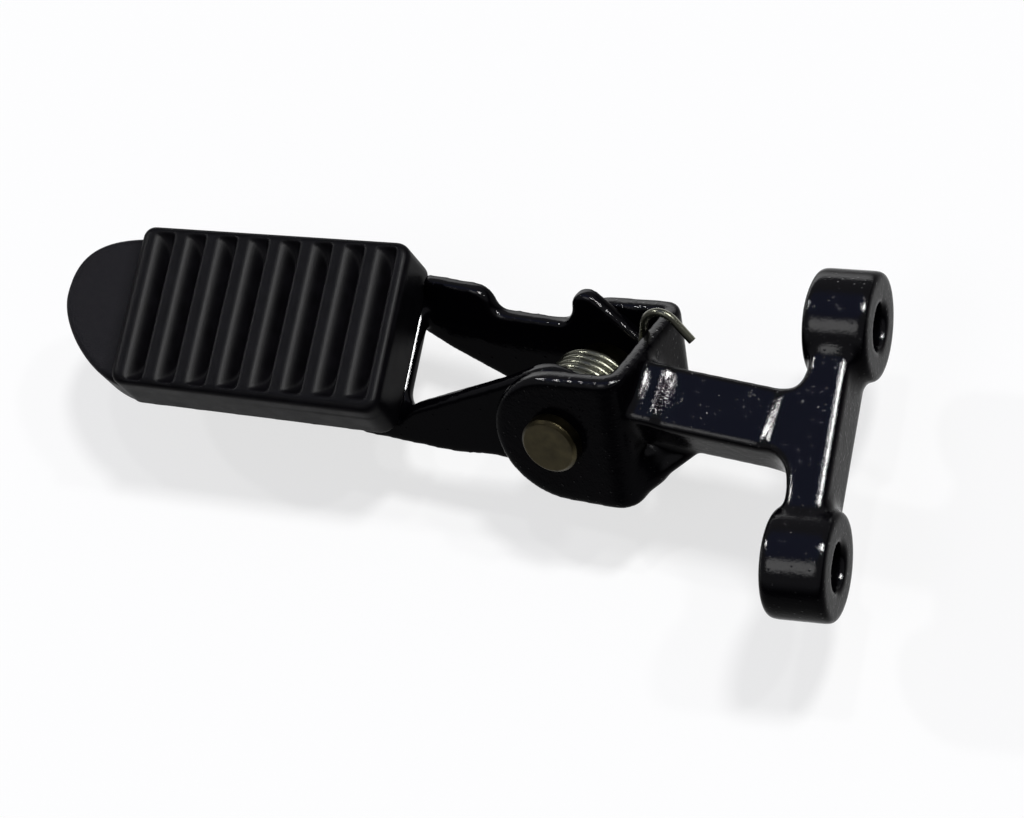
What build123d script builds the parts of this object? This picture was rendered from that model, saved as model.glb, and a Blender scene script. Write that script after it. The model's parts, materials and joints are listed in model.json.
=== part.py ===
from build123d import *
from math import acos, atan2, cos, degrees, radians, sin, sqrt
import os

# Motorcycle footpeg: cast hanger bracket, folding steel peg, ribbed rubber pad, clevis pin, return spring.
# Millimetres. The two bolt bosses stand on the plane X = 0 with the origin midway between their holes.
# +X runs outward along the peg, +Y toward the front of the motorcycle and +Z up.

# Hanger bracket
bolt_spacing = 58.0
bolt_hole_d = 11.0
boss_d = 25.7
boss_length = 15.6
boss_round = 1.8
bar_height = 17.0
bar_inner_x = 3.4
bar_outer_x = 13.3
bar_flare_x = 19.0
bar_round = 1.6
stem_width = 15.5
stem_sink = 2.3123
stem_yaw = 7.25
gusset_start = 38.0

# Pivot place and direction
pivot_x = 69.46
pivot_y = -10.22
pivot_z = -9.41
pivot_tilt = 36.0
pivot_skew = 8.0
fold_range = 50.0

# Clevis, measured from the pivot
clevis_width = 38.0
ear_thickness = 4.5
web_thickness = 4.4
web_front = 14.3
ear_nose = 16.3
ear_top = 16.7
ear_bottom = 17.6
clevis_bend_r = 5.5
ear_round = 1.2

# Peg frame
plate_steel = 4.0
cheek_gap = 0.3
knuckle_r = 15.0
tread_top_z = -10.0
tread_thickness = 4.5
tread_inner_x = 115.9
tread_outer_x = 194.0
stop_gap = 0.05

# Rubber pad
pad_inner_x = 116.6
pad_shoulder_x = 187.6
pad_tip_x = 206.4
pad_front_inner_y = 3.3
pad_front_outer_y = 0.6
pad_back_y = -40.6
pad_tip_y = -22.5
tongue_back_y = -38.8
tongue_height = 9.8
crest_height = 15.2
pad_corner = 4.0
rib_count = 8
rib_pitch = 8.4
rib_land = 2.6
groove_depth = 4.2
groove_first_x = 187.0
groove_end = 2.2
groove_root_r = 1.1

# Pad fixings
screw_x = (134.0, 176.0)
screw_y = -18.6
screw_d = 5.9
screw_hole_d = 6.6
screw_head_flats = 10.0
screw_head_height = 4.0
washer_d = 14.0
washer_bore_d = 6.4
washer_thickness = 1.4
insert_length = 62.0
insert_width = 26.0
insert_thickness = 2.5
insert_bore_d = 6.0
bush_d = 11.0
bush_height = 3.6

# Pivot pin, washer, split pin and collar
pin_d = 10.0
pin_fit = 0.05
pin_head_d = 14.2
pin_head_height = 3.5
pin_end = 7.2
pin_washer_d = 19.0
pin_washer_bore_d = 10.5
pin_washer_thickness = 1.6
split_r = 1.1
split_fit = 0.2
split_eye_r = 2.0
split_neck_r = 2.0
split_bend_r = 3.0
split_stand = 1.0
split_gap = 0.04
split_run = 1.8
split_tail = 3.5
collar_d = 17.0
collar_end_gap = 0.1

# Torsion spring
wire_d = 2.0
coil_r = 10.3
coil_pitch = 2.1
coil_front_gap = 0.6
coil_rear_gap = 5.0
leg_length = 21.6
hook_r = 4.5
hook_tail = 6.5
spring_tail = 3.1
leg_gap = 0.2
spring_bend_r = 1.6
spring_hole_d = 2.2

os.makedirs("parts", exist_ok=True)


# Directions and planes shared by the pieces
tilt = radians(pivot_tilt)
skew = radians(pivot_skew)
pin_dir = Vector(sin(skew), cos(skew) * cos(tilt), cos(skew) * sin(tilt))
peg_dir = (Vector(1, 0, 0) - pin_dir * pin_dir.X).normalized()
up_dir = peg_dir.cross(pin_dir)
pivot_point = Vector(pivot_x, pivot_y, pivot_z)
# In the pivot plane x runs outward along the peg, y upward and the offset toward the rear ear.
pivot = Plane(origin=pivot_point, x_dir=peg_dir, z_dir=-pin_dir)
# In the clevis plan x runs outward, y toward the front ear and the offset upward.
clevis_plan = Plane(origin=pivot_point, x_dir=peg_dir, z_dir=up_dir)
# In the clevis end view x runs toward the front ear, y upward and the offset outward along the peg.
clevis_end = Plane(origin=pivot_point, x_dir=pin_dir, z_dir=peg_dir)
stem_dir = Vector(cos(radians(stem_yaw)), -sin(radians(stem_yaw)), 0)

ear_outer = clevis_width / 2
ear_inner = ear_outer - ear_thickness
cheek_outer = ear_inner - cheek_gap
cheek_inner = cheek_outer - plate_steel
web_back = web_front + web_thickness
stem_length = (pivot_x - web_back + stem_sink) / cos(radians(stem_yaw))
tread_bottom_z = tread_top_z - tread_thickness
crest_z = tread_top_z + crest_height
groove_width = rib_pitch - rib_land
split_offset = ear_outer + pin_washer_thickness + 0.2 + split_r + split_fit

# Spring centre line: coil, tangent leg that leans on the web, and axial end in the front cheek
web_top = ear_top + 1.8
leg_rest = web_front - wire_d / 2 - leg_gap
lean = atan2(web_top, -leg_rest)
reach = sqrt(web_top**2 + leg_rest**2)
coil_start = cheek_inner - coil_front_gap - wire_d / 2
coil_turns = int((coil_start + cheek_inner - wire_d / 2 - coil_rear_gap) / coil_pitch)
leg_angle = lean + acos(coil_r / reach)
coil_x = peg_dir * cos(leg_angle) + up_dir * sin(leg_angle)
coil_plane = Plane(origin=pivot.offset(-coil_start).origin, x_dir=coil_x, z_dir=-pin_dir)
coil_path = Edge.make_helix(coil_pitch, coil_pitch * coil_turns, coil_r, lefthand=True)
coil = coil_path.moved(coil_plane.location)
leg_dir = coil % 1
leg_normal = (-pin_dir - leg_dir * (-pin_dir).dot(leg_dir)).normalized()
leg_plane = Plane(origin=coil @ 1, x_dir=leg_dir, z_dir=leg_normal)
tail_dir = -(coil % 0)
tail_rise = degrees(acos(tail_dir.dot(pin_dir)))
tail_up = (pin_dir - tail_dir * tail_dir.dot(pin_dir)).normalized()
tail_plane = Plane(origin=coil @ 0, x_dir=tail_dir, z_dir=tail_dir.cross(tail_up))
with BuildLine(tail_plane) as spring_end:
    bend = JernArc((0, 0), (1, 0), spring_bend_r, tail_rise)
    PolarLine(bend @ 1, spring_tail, tail_rise)
spring_hole = pivot.to_local_coords(spring_end.line @ 1)


# Clevis of the bracket: a U of two ears and a web, trimmed to the ears' side outline
with BuildPart() as clevis:
    with BuildSketch(clevis_plan.offset(-30)):
        with Locations((-web_back + 25, 0)):
            RectangleRounded(50, clevis_width, clevis_bend_r)
        with Locations((-web_front + 30, 0)):
            RectangleRounded(60, 2 * ear_inner, cheek_gap, mode=Mode.SUBTRACT)
    extrude(amount=60)
    with BuildSketch(pivot.offset(-30)):
        with BuildLine():
            bottom = Line((-web_back, -ear_bottom), (-1, -ear_bottom))
            nose = ThreePointArc(bottom @ 1, (ear_nose, -0.3), (-0.5, ear_top))
            top = Line(nose @ 1, (-web_back, ear_top + 1.6))
            Line(top @ 1, bottom @ 0)
        make_face()
    extrude(amount=60, mode=Mode.INTERSECT)
    rear_rim = clevis.faces().sort_by(lambda face: face.center().dot(pin_dir))[0].edges()
    front_rim = clevis.faces().sort_by(lambda face: face.center().dot(pin_dir))[-1].edges()
    fillet(rear_rim + front_rim, ear_round)

# Crossbar and stem from one plan outline, edges rounded all along
with BuildPart() as crossbar:
    half = bolt_spacing / 2
    stem_half = stem_width / 2
    stem_start = stem_dir * bar_flare_x
    stem_end = stem_dir * stem_length
    stem_side = Vector(-stem_dir.Y, stem_dir.X, 0) * stem_half
    with BuildSketch(Plane.XY.offset(-bar_height / 2)):
        with BuildLine():
            inner = Line((bar_inner_x, -half), (bar_inner_x, half))
            front_end = Line(inner @ 1, (bar_outer_x, half))
            front = Line(front_end @ 1, (bar_outer_x, half - 12))
            front_flare = Spline(front @ 1, stem_start + stem_side, tangents=[(0, -1), stem_dir])
            front_side = Line(front_flare @ 1, stem_end + stem_side)
            tip = Line(front_side @ 1, stem_end - stem_side)
            rear_side = Line(tip @ 1, stem_start - stem_side)
            rear_flare = Spline(rear_side @ 1, (bar_outer_x, 12 - half), tangents=[-stem_dir, (0, -1)])
            rear = Line(rear_flare @ 1, (bar_outer_x, -half))
            Line(rear @ 1, inner @ 0)
        make_face()
    extrude(amount=bar_height)
    fillet(crossbar.faces().filter_by(Axis.Z).edges(), bar_round)

# Hanger bracket casting
with BuildPart() as bracket:
    for side in (-1, 1):
        with BuildSketch(Plane.YZ):
            with Locations((side * half, 0)):
                Circle(boss_d / 2)
        extrude(amount=boss_length)
    fillet(bracket.faces().sort_by(Axis.X)[-2:].edges(), boss_round)
    chamfer(bracket.faces().sort_by(Axis.X)[:2].edges(), 0.6)
    add(crossbar.part)
    add(clevis.part)
    # Gusset from the underside of the stem to the lower front corner of the web
    with BuildSketch(Plane(origin=stem_dir * gusset_start, x_dir=(0, 0, 1), z_dir=stem_dir)):
        with Locations((1.6 - bar_height / 2, 0)):
            Rectangle(3, stem_width - 3)
    with BuildSketch(clevis_end.offset(1 - web_back)):
        with Locations((6.5, -10.5)):
            RectangleRounded(17, 13, 2)
    loft()
    with BuildSketch(Plane.YZ):
        with Locations((-half, 0), (half, 0)):
            Circle(bolt_hole_d / 2)
    extrude(amount=boss_length, mode=Mode.SUBTRACT)
    with BuildSketch(pivot.offset(-ear_outer - 1)):
        Circle(pin_d / 2 + pin_fit)
    extrude(amount=clevis_width + 2, mode=Mode.SUBTRACT)

bracket.part.label = "bracket"
export_step(bracket.part, "parts/bracket.step")


# Peg frame: the flat rear cheek with its stop lobe runs on into the rear arm
with BuildPart() as peg_frame:
    turn = radians(fold_range)
    stop_e = 1.9
    stop_y = (web_front - stop_gap + stop_e * cos(turn)) / sin(turn)
    stop_low = -3.0
    stop_low_y = (web_front - stop_gap + stop_low * cos(turn)) / sin(turn)
    # Rear cheek, lobe and arm
    with BuildSketch(pivot.offset(cheek_inner)):
        with BuildLine():
            heel = Line((-web_front, -11.0), (-web_front, -4.5))
            rear = TangentArc(heel @ 1, (-12.6, 5.9), tangent=(0, 1))
            back = ThreePointArc(rear @ 1, (-9.9, 9.7), (-4.9, 13.3))
            Line(back @ 1, (stop_low, stop_low_y))
            Line((stop_low, stop_low_y), (stop_e, stop_y))
            crest = ThreePointArc((stop_e, stop_y), (6.4, 21.3), (10.2, 17.8))
            lobe = TangentArc(crest @ 1, (14.6, 11.9), tangent=(0.1, -1))
            Line(lobe @ 1, (29.0, 11.2))
            rise = ThreePointArc((29.0, 11.2), (31.2, 14.9), (36.0, 17.8))
            Line(rise @ 1, (60.0, 18.4))
            Line((60.0, 18.4), (64.0, 12.0))
            Line((64.0, 12.0), (48.9, 1.9))
            under = ThreePointArc((48.9, 1.9), (36.0, -3.4), (25.0, -9.2))
            low = ThreePointArc((25.0, -9.2), (14.0, -12.6), (0.0, -knuckle_r))
            Line(low @ 1, (-10.0, -knuckle_r + 0.2))
            ThreePointArc((-10.0, -knuckle_r + 0.2), (-13.2, -13.8), (-web_front, -11.0))
        make_face()
    extrude(amount=plate_steel)
    # Front cheek and arm
    with BuildSketch(pivot.offset(-cheek_outer)):
        with BuildLine():
            heel = Line((-web_front, -11.0), (-web_front, -4.5))
            rear = TangentArc(heel @ 1, (-12.6, 5.9), tangent=(0, 1))
            back = ThreePointArc(rear @ 1, (-9.0, 10.9), (-3.4, 14.9))
            top = ThreePointArc(back @ 1, (1.6, 15.6), (6.5, 14.0))
            lip = Spline(top @ 1, (14.4, 10.4), (24.0, 5.6), (32.5, 2.3), (41.5, -2.0))
            drop = ThreePointArc(lip @ 1, (45.0, -4.0), (47.2, -6.6))
            Line(drop @ 1, (60.0, -9.6))
            Line((60.0, -9.6), (57.0, -12.0))
            Line((57.0, -12.0), (30.0, -13.0))
            low = Spline((30.0, -13.0), (22.0, -11.6), (12.0, -12.6), (0.0, -knuckle_r))
            Line(low @ 1, (-10.0, -knuckle_r + 0.2))
            ThreePointArc((-10.0, -knuckle_r + 0.2), (-13.2, -13.8), (-web_front, -11.0))
        make_face()
    extrude(amount=plate_steel)
    # Tread plate between and beyond the arms
    with BuildSketch(Plane.XY.offset(tread_bottom_z)):
        with BuildLine():
            Polyline(
                (tread_inner_x, -2.5),
                (tread_inner_x + 8, 0.8),
                (tread_outer_x - 12, -1.4),
                (tread_outer_x, -10),
                (tread_outer_x, -29),
                (tread_outer_x - 12, -37.2),
                (tread_inner_x + 8, -38.2),
                (tread_inner_x, -31),
                close=True,
            )
        make_face()
    extrude(amount=tread_thickness)
    # Seat for the pad: nothing of the arms stands above the tread plate beyond its inner end
    with BuildSketch(Plane.XY.offset(tread_top_z)):
        with Locations((pad_inner_x + 40 - 0.3, -19)):
            Rectangle(80, 70)
    extrude(amount=30, mode=Mode.SUBTRACT)
    # Pin holes and pad screw holes
    with BuildSketch(pivot.offset(-ear_outer)):
        Circle(pin_d / 2 + pin_fit)
    extrude(amount=clevis_width, mode=Mode.SUBTRACT)
    with BuildSketch(Plane.XY.offset(tread_bottom_z - 1)):
        with Locations(*[(x, screw_y) for x in screw_x]):
            Circle(screw_hole_d / 2)
    extrude(amount=tread_thickness + 2, mode=Mode.SUBTRACT)
    # Hole in the front cheek for the spring's axial end
    with BuildSketch(pivot.offset(-cheek_outer)):
        with Locations((spring_hole.X, spring_hole.Y)):
            Circle(spring_hole_d / 2)
    extrude(amount=plate_steel, mode=Mode.SUBTRACT)

peg_frame.part.label = "peg_frame"
export_step(peg_frame.part, "parts/peg_frame.step")


# Rubber pad: base with a smooth rounded tongue, raised block with saw-tooth ribs across it
with BuildPart() as rubber_pad:
    tip_reach = pad_tip_x - pad_shoulder_x
    front_side = pad_front_outer_y - pad_tip_y
    back_side = tongue_back_y - pad_tip_y
    # Base and tongue
    with BuildSketch(Plane.XY.offset(tread_top_z)):
        with BuildLine():
            inner = Line((pad_inner_x, pad_back_y + pad_corner), (pad_inner_x, pad_front_inner_y - pad_corner))
            corner = RadiusArc(inner @ 1, (pad_inner_x + pad_corner, pad_front_inner_y), pad_corner)
            front = Line(corner @ 1, (pad_shoulder_x - 4, pad_front_outer_y))
            front_bow = (pad_shoulder_x + 0.24 * tip_reach, pad_tip_y + 0.85 * front_side)
            front_turn = (pad_shoulder_x + 0.73 * tip_reach, pad_tip_y + 0.55 * front_side)
            back_turn = (pad_shoulder_x + 0.48 * tip_reach, pad_tip_y + 0.925 * back_side)
            tip = Spline(
                front @ 1,
                front_bow,
                front_turn,
                (pad_tip_x, pad_tip_y),
                back_turn,
                (pad_shoulder_x - 3, tongue_back_y),
                tangents=[(1, -0.3), (-1, 0)],
            )
            step = Line(tip @ 1, (pad_shoulder_x - 3, pad_back_y))
            back = Line(step @ 1, (pad_inner_x + pad_corner, pad_back_y))
            RadiusArc(back @ 1, inner @ 0, pad_corner)
        make_face()
    extrude(amount=tongue_height)
    # Raised block
    with BuildSketch(Plane.XY.offset(tread_top_z)):
        with BuildLine():
            inner = Line((pad_inner_x, pad_back_y + pad_corner), (pad_inner_x, pad_front_inner_y - pad_corner))
            corner = RadiusArc(inner @ 1, (pad_inner_x + pad_corner, pad_front_inner_y), pad_corner)
            front = Line(corner @ 1, (pad_shoulder_x - 4, pad_front_outer_y))
            nick = Line(front @ 1, (pad_shoulder_x, pad_front_outer_y - 3))
            end = Line(nick @ 1, (pad_shoulder_x, pad_back_y + 3))
            shoulder = RadiusArc(end @ 1, (pad_shoulder_x - 3, pad_back_y), 3)
            back = Line(shoulder @ 1, (pad_inner_x + pad_corner, pad_back_y))
            RadiusArc(back @ 1, inner @ 0, pad_corner)
        make_face()
    extrude(amount=crest_height)
    top_edges = rubber_pad.edges().filter_by_position(Axis.Z, crest_z - 0.01, crest_z + 0.01)
    fillet(top_edges, 1.8)

# One set of saw-tooth grooves, steep toward the tip and sloping toward the motorcycle
with BuildPart() as grooves:
    with BuildSketch(Plane.XZ.offset(60)):
        for rib in range(rib_count):
            foot = groove_first_x - (rib + 1) * rib_pitch
            floor_z = crest_z - groove_depth
            with BuildLine():
                wall = Line((foot + 0.5, crest_z + 2), (foot + 0.2, floor_z + groove_root_r))
                root = RadiusArc(wall @ 1, (foot + groove_root_r + 0.2, floor_z), groove_root_r)
                slope = Line(root @ 1, (foot + 0.72 * groove_width, crest_z - 0.9))
                brow_peak = (foot + 0.85 * groove_width, crest_z - 0.25)
                brow = ThreePointArc(slope @ 1, brow_peak, (foot + groove_width, crest_z + 0.02))
                top = Line(brow @ 1, (foot + groove_width, crest_z + 2))
                Line(top @ 1, wall @ 0)
            make_face()
    extrude(amount=-120)
    with BuildSketch(Plane.YZ.offset(90)):
        with BuildLine():
            low = crest_z - groove_depth - 1
            left = pad_back_y + groove_end
            right = pad_front_outer_y - 0.4
            floor = Line((left + 9, low), (right - 7, low))
            rise = ThreePointArc(floor @ 1, (right - 2.2, crest_z - 3.2), (right, crest_z + 3))
            top = Line(rise @ 1, (left, crest_z + 3))
            ThreePointArc(top @ 1, (left + 2.6, crest_z - 3.2), (left + 9, low))
        make_face()
    extrude(amount=110, mode=Mode.INTERSECT)

# Steel plate with two threaded bushes moulded into the pad
with BuildPart() as pad_plate:
    screw_middle = (screw_x[0] + screw_x[1]) / 2
    with BuildSketch(Plane.XY.offset(tread_top_z + bush_height)):
        with Locations((screw_middle, screw_y)):
            RectangleRounded(insert_length, insert_width, 4)
    extrude(amount=insert_thickness)
    with BuildSketch(Plane.XY.offset(tread_top_z)):
        with Locations(*[(x, screw_y) for x in screw_x]):
            Circle(bush_d / 2)
    extrude(amount=bush_height)
    with BuildSketch(Plane.XY.offset(tread_top_z)):
        with Locations(*[(x, screw_y) for x in screw_x]):
            Circle(insert_bore_d / 2)
    extrude(amount=bush_height + insert_thickness, mode=Mode.SUBTRACT)

pad_plate.part.label = "pad_plate"
export_step(pad_plate.part, "parts/pad_plate.step")

# The pad as moulded: ribs cut in, plate and screw ends left clear
with BuildPart() as pad_body:
    add(rubber_pad.part)
    add(grooves.part, mode=Mode.SUBTRACT)
    add(pad_plate.part, mode=Mode.SUBTRACT)
    with BuildSketch(Plane.XY.offset(tread_top_z)):
        with Locations(*[(x, screw_y) for x in screw_x]):
            Circle(insert_bore_d / 2)
    extrude(amount=bush_height + insert_thickness + 1.0, mode=Mode.SUBTRACT)

pad_body.part.label = "rubber_pad"
export_step(pad_body.part, "parts/rubber_pad.step")

# Two screws from below
head_z = tread_bottom_z - washer_thickness - screw_head_height
with BuildPart() as pad_screws:
    with BuildSketch(Plane.XY.offset(head_z)):
        with Locations(*[(x, screw_y) for x in screw_x]):
            RegularPolygon(screw_head_flats / 2, 6, major_radius=False)
    extrude(amount=screw_head_height)
    with BuildSketch(Plane.XY.offset(head_z)):
        with Locations(*[(x, screw_y) for x in screw_x]):
            Circle(screw_d / 2)
    extrude(amount=tread_top_z + bush_height + insert_thickness - 0.5 - head_z)

pad_screws.part.label = "pad_screws"
export_step(pad_screws.part, "parts/pad_screws.step")

# Two plain washers under the screw heads
with BuildPart() as pad_washers:
    with BuildSketch(Plane.XY.offset(tread_bottom_z - washer_thickness)):
        with Locations(*[(x, screw_y) for x in screw_x]):
            Circle(washer_d / 2)
            Circle(washer_bore_d / 2, mode=Mode.SUBTRACT)
    extrude(amount=washer_thickness)

pad_washers.part.label = "pad_washers"
export_step(pad_washers.part, "parts/pad_washers.step")


# Headed pivot pin with a cross hole
with BuildPart() as pivot_pin:
    with BuildSketch(pivot.offset(-ear_outer - pin_head_height)):
        Circle(pin_head_d / 2)
    extrude(amount=pin_head_height)
    chamfer(pivot_pin.edges().sort_by_distance(pivot_point)[-1], 0.7)
    with BuildSketch(pivot.offset(-ear_outer)):
        Circle(pin_d / 2)
    extrude(amount=clevis_width + pin_end)
    far_rim = pivot_pin.edges().sort_by(lambda edge: edge.center().dot(pin_dir))[0]
    chamfer(far_rim, 1.0)
    cross_point = pivot.offset(split_offset).origin
    with BuildSketch(Plane(origin=cross_point, x_dir=peg_dir, z_dir=up_dir)):
        Circle(split_r + split_fit)
    extrude(amount=pin_d, both=True, mode=Mode.SUBTRACT)

pivot_pin.part.label = "pivot_pin"
export_step(pivot_pin.part, "parts/pivot_pin.step")

# Plain washer outside the rear ear
with BuildPart() as pin_washer:
    with BuildSketch(pivot.offset(ear_outer)):
        Circle(pin_washer_d / 2)
        Circle(pin_washer_bore_d / 2, mode=Mode.SUBTRACT)
    extrude(amount=pin_washer_thickness)

pin_washer.part.label = "pin_washer"
export_step(pin_washer.part, "parts/pin_washer.step")

# Split pin: half-round wire, eye above the pin, both legs opened below it
with BuildPart() as split_pin:
    split_plane = pivot.offset(split_offset)
    drop = sqrt((split_eye_r + split_neck_r) ** 2 - (split_neck_r + split_gap) ** 2)
    neck_turn = degrees(atan2(drop, split_neck_r + split_gap))
    eye_y = pin_d / 2 + split_stand + drop
    with BuildLine(split_plane) as half_wire:
        eye = JernArc((0, eye_y + split_eye_r), (1, 0), split_eye_r, -90 - neck_turn)
        neck = JernArc(eye @ 1, eye % 1, split_neck_r, neck_turn)
        shank = Line(neck @ 1, neck @ 1 - up_dir * (pin_d + split_run))
        splay = JernArc(shank @ 1, shank % 1, split_bend_r, 58)
        Line(splay @ 1, splay @ 1 + (splay % 1) * split_tail)
    with BuildSketch(Plane(origin=half_wire.line @ 0, x_dir=up_dir, z_dir=peg_dir)):
        Circle(split_r)
        with Locations((-split_r, 0)):
            Rectangle(2 * split_r, 3 * split_r, mode=Mode.SUBTRACT)
    sweep(path=half_wire.line)
    mirror(about=Plane(origin=pivot_point, z_dir=peg_dir))

split_pin.part.label = "split_pin"
export_step(split_pin.part, "parts/split_pin.step")

# Collar on the pin between the cheeks
with BuildPart() as spring_collar:
    with BuildSketch(pivot.offset(collar_end_gap - cheek_inner)):
        Circle(collar_d / 2)
        Circle(pin_d / 2 + pin_fit, mode=Mode.SUBTRACT)
    extrude(amount=2 * (cheek_inner - collar_end_gap))

spring_collar.part.label = "spring_collar"
export_step(spring_collar.part, "parts/spring_collar.step")

# Close-wound return spring
with BuildPart() as torsion_spring:
    with BuildSketch(Plane(origin=coil @ 0, z_dir=coil % 0)):
        Circle(wire_d / 2)
    sweep(path=coil, is_frenet=True)
    with BuildLine(leg_plane) as hook:
        leg = Line((0, 0), (leg_length, 0))
        crook = JernArc(leg @ 1, leg % 1, hook_r, 128)
        Line(crook @ 1, crook @ 1 + (crook % 1) * hook_tail)
    with BuildSketch(Plane(origin=coil @ 1, z_dir=leg_dir)):
        Circle(wire_d / 2)
    sweep(path=hook.line)
    with BuildSketch(Plane(origin=coil @ 0, z_dir=tail_dir)):
        Circle(wire_d / 2)
    sweep(path=spring_end.line)

torsion_spring.part.label = "torsion_spring"
export_step(torsion_spring.part, "parts/torsion_spring.step")
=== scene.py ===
import json
import math

import bmesh
import bpy
from mathutils import Matrix, Vector


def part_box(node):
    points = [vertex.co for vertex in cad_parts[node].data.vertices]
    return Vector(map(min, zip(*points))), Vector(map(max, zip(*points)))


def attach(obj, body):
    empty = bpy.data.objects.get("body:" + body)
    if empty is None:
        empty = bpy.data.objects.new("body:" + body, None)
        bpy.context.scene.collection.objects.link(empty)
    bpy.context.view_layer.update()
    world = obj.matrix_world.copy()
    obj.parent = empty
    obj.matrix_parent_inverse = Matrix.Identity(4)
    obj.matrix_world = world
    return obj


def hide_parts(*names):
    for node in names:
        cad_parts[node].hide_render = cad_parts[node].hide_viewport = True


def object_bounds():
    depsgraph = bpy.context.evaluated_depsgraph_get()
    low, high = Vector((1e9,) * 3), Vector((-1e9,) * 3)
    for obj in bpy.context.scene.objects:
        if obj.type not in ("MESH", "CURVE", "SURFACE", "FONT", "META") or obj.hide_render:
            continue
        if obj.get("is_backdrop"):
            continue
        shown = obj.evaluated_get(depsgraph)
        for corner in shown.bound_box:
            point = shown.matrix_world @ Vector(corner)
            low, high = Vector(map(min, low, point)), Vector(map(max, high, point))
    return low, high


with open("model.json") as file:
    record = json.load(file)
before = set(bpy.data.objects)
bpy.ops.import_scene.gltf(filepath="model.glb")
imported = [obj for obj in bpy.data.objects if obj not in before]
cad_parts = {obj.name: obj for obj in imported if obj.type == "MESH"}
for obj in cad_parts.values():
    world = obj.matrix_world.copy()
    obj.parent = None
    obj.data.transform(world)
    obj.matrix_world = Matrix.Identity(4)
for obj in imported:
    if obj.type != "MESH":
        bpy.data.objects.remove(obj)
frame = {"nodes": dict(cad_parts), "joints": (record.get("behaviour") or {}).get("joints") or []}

bl_info = {
    "name": "Motorcycle Footpeg",
    "version": (1, 0, 0),
    "blender": (4, 5, 0),
    "location": "View3D > Sidebar > Footpeg",
    "description": "Dresses a folding motorcycle footpeg: painted castings, ribbed rubber pad, plated fixings",
    "category": "Object",
}

MM = 0.001
X_AXIS = Vector((1.0, 0.0, 0.0))

# The fold joint gives the pivot's place and the three directions that the clevis parts are set out in.
fold = frame["joints"][0]
pivot_point = Vector(fold["pos_m"])
pin_dir = -Vector(fold["axis"]).normalized()
peg_dir = (X_AXIS - pin_dir * pin_dir.x).normalized()
up_dir = peg_dir.cross(pin_dir)


# Sizes and colours


class FootpegPadSizes(bpy.types.PropertyGroup):
    rib_count: bpy.props.IntProperty(name="Ribs", description="Grooves cut across the pad", default=8, min=1)
    rib_pitch: bpy.props.FloatProperty(
        name="Rib pitch", description="Distance from rib to rib", default=8.4 * MM, unit="LENGTH", precision=5)
    rib_land: bpy.props.FloatProperty(
        name="Rib land", description="Flat left on top of each rib", default=2.6 * MM, unit="LENGTH", precision=5)
    groove_depth: bpy.props.FloatProperty(
        name="Groove depth", description="Depth of a groove below the ribs", default=4.2 * MM, unit="LENGTH",
        precision=5)
    tongue_height: bpy.props.FloatProperty(
        name="Tongue height", description="Height of the smooth tongue", default=11.2 * MM, unit="LENGTH",
        precision=5)
    voxel: bpy.props.FloatProperty(
        name="Skin cell", description="Cell size of the moulded skin", default=0.42 * MM, unit="LENGTH",
        precision=5)


class FootpegSpringSizes(bpy.types.PropertyGroup):
    wire_d: bpy.props.FloatProperty(
        name="Wire", description="Diameter of the spring wire", default=2.0 * MM, unit="LENGTH", precision=5)
    coil_r: bpy.props.FloatProperty(
        name="Coil radius", description="Radius of the coil at the wire's middle", default=10.3 * MM,
        unit="LENGTH", precision=5)
    coil_pitch: bpy.props.FloatProperty(
        name="Coil pitch", description="Distance from turn to turn", default=2.1 * MM, unit="LENGTH", precision=5)
    coil_turns: bpy.props.IntProperty(name="Turns", description="Turns of the coil", default=6, min=1)


class FootpegCastingSizes(bpy.types.PropertyGroup):
    cell: bpy.props.FloatProperty(
        name="Skin cell", description="Cell size of the painted skins", default=0.5 * MM, unit="LENGTH",
        precision=5)
    blend_steps: bpy.props.IntProperty(
        name="Blend steps", description="Width of the blends in the casting's inner corners", default=60, min=0)
    waist_depth: bpy.props.FloatProperty(
        name="Waist depth", description="How far the stem lies below the crossbar", default=1.0 * MM,
        unit="LENGTH", precision=5)


class FootpegFinish(bpy.types.PropertyGroup):
    paint: bpy.props.FloatVectorProperty(
        name="Paint", description="Gloss black paint", subtype="COLOR", size=3, default=(0.0009, 0.0008, 0.0013))
    rubber: bpy.props.FloatVectorProperty(
        name="Rubber", description="Moulded black rubber", subtype="COLOR", size=3,
        default=(0.0030, 0.0028, 0.0036))
    plating: bpy.props.FloatVectorProperty(
        name="Plating", description="Olive zinc plating", subtype="COLOR", size=3, default=(0.047, 0.040, 0.022))
    wire: bpy.props.FloatVectorProperty(
        name="Spring wire", description="Bright plated spring wire", subtype="COLOR", size=3,
        default=(0.20, 0.20, 0.155))


class FootpegStudio(bpy.types.PropertyGroup):
    floor_drop: bpy.props.FloatProperty(
        name="Floor drop", description="Gap between the part and the floor", default=0.4 * MM, unit="LENGTH",
        precision=5)
    floor_size: bpy.props.FloatProperty(
        name="Floor size", description="Width of the floor", default=60.0, unit="LENGTH")
    floor_colour: bpy.props.FloatVectorProperty(
        name="Floor", description="Pale floor", subtype="COLOR", size=3, default=(0.93, 0.93, 0.93))
    floor_white: bpy.props.FloatProperty(
        name="Even white", description="Share of the floor that is seen as even white", default=0.7, min=0.0,
        max=1.0)


# Mesh helpers


def new_object(name, data):
    """A new object in the scene, at the origin."""
    piece = bpy.data.objects.new(name, data)
    bpy.context.scene.collection.objects.link(piece)
    return piece


def mesh_object(name, verts, faces):
    """A new object at the origin, with its place in its mesh and its faces outward."""
    mesh = bpy.data.meshes.new(name)
    mesh.from_pydata([tuple(v) for v in verts], [], faces)
    mesh.validate()
    shell = bmesh.new()
    shell.from_mesh(mesh)
    bmesh.ops.remove_doubles(shell, verts=shell.verts, dist=1e-7)
    bmesh.ops.recalc_face_normals(shell, faces=shell.faces)
    shell.to_mesh(mesh)
    shell.free()
    return new_object(name, mesh)


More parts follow.
